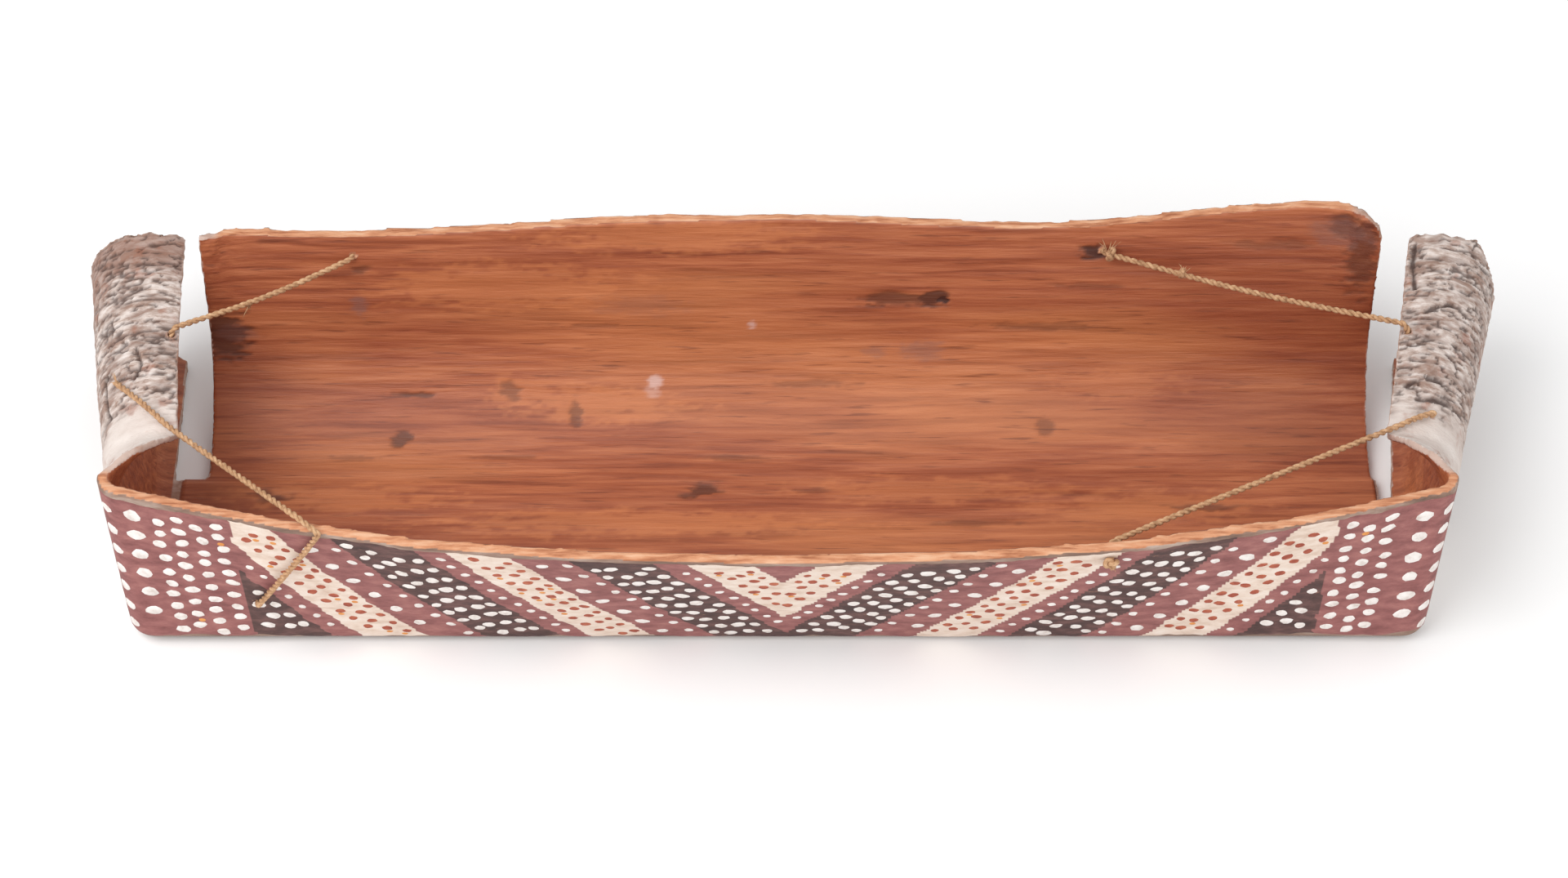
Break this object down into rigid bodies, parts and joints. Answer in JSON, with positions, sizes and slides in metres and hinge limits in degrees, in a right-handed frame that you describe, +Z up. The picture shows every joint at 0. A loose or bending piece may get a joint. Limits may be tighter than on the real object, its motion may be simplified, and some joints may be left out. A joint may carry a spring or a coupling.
{
  "type": "bark coolamon",
  "caption": "Shallow carrying trough folded from one sheet of bark, with curled end ears held in place by twine ties.",
  "frame": {"origin": "on the resting plane, midway along the trough and close to the middle of its depth", "axes": "+X along the trough, +Y from the near painted wall to the far wall, +Z up"},
  "size_m": [0.6267, 0.1967, 0.1036],
  "materials": {
    "bark": "smooth red-brown inner bark, rough grey outer bark at the ears, ochre paint on the near wall",
    "twine": "dry two-ply plant-fibre string",
    "ochre_paint": "matt earth pigment"
  },
  "bodies": {
    "root": {"bark_sheet": "bark", "left_back_tie": "twine", "left_front_tie": "twine", "right_back_tie": "twine", "right_front_tie": "twine"}
  },
  "joints": []
}
